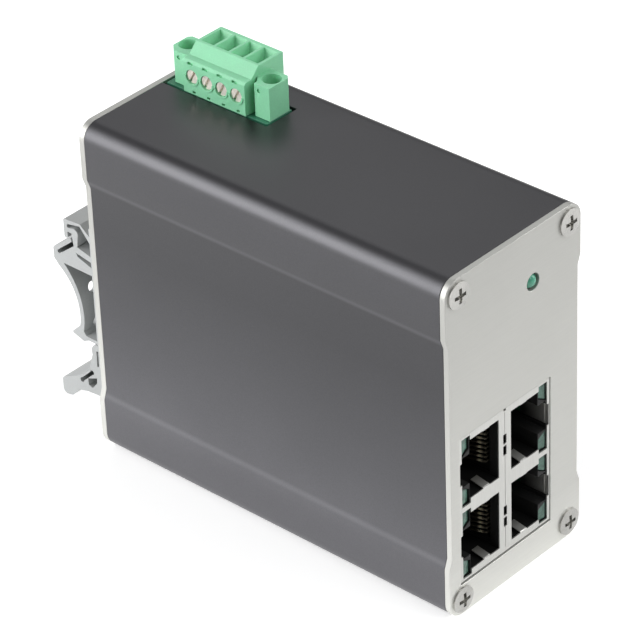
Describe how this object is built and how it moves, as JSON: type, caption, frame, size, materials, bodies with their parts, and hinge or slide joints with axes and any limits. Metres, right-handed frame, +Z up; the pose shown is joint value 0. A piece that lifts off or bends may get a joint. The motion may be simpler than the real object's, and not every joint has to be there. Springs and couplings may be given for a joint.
{
  "type": "din rail ethernet switch",
  "caption": "Unmanaged Ethernet switch in a dark anodised aluminium housing with clear end plates, stacked modular jacks, a pluggable screw terminal and a plastic DIN rail clip.",
  "frame": {"origin": "centre of the bounding box at the underside, which lies in the housing's width and between port screws and rail clip", "axes": "+Z up, -Y towards the front plate with the ports, +Y towards the rail clip, X across the width"},
  "size_m": [0.0384, 0.104, 0.0832],
  "materials": {
    "anodised_aluminium": "satin, dark anodised",
    "black_plastic": "matt",
    "brass_nut": "turned",
    "ceramic": "matt",
    "circuit_board": "solder mask",
    "clear_aluminium": "fine brushed, clear anodised",
    "dark_green_plastic": "satin",
    "ferrite": "matt",
    "gold_contact": "gold flash",
    "green_lamp": "tinted clear",
    "green_plastic": "satin",
    "grey_plastic": "satin",
    "led_package": "glossy",
    "light_pipe": "clear moulded",
    "nickel_steel": "bright nickel",
    "raw_aluminium": "plain",
    "shield_steel": "bright tin plate"
  },
  "bodies": {
    "root": {"housing_extrusion": "anodised_aluminium", "front_plate": "clear_aluminium", "back_plate": "clear_aluminium", "front_plate_screws": "nickel_steel", "back_plate_screws": "nickel_steel", "jack_shield": "shield_steel", "jack_insulator": "black_plastic", "jack_contacts": "gold_contact", "jack_light_pipes": "light_pipe", "jack_leds": "led_package", "jack_signal_board": "circuit_board", "jack_magnetics": "ferrite", "jack_pins": "shield_steel", "status_lamp": "green_lamp", "lamp_legs": "shield_steel", "lamp_holder": "black_plastic", "terminal_header": "dark_green_plastic", "header_pins": "shield_steel", "header_nuts": "brass_nut", "terminal_plug": "green_plastic", "clamp_screws": "nickel_steel", "clamp_cages": "nickel_steel", "plug_contacts": "gold_contact", "flange_screws": "nickel_steel", "din_clip": "grey_plastic", "clip_screws": "nickel_steel", "clip_nuts": "nickel_steel", "main_board": "circuit_board", "switch_chip": "black_plastic", "chip_legs": "shield_steel", "heat_sink": "raw_aluminium", "memory_chip": "black_plastic", "crystal": "raw_aluminium", "capacitors": "raw_aluminium", "power_inductor": "ferrite", "power_regulator": "black_plastic", "power_diodes": "black_plastic", "input_fuse": "ceramic", "chip_capacitors": "ceramic", "chip_resistors": "ceramic"}
  },
  "joints": []
}
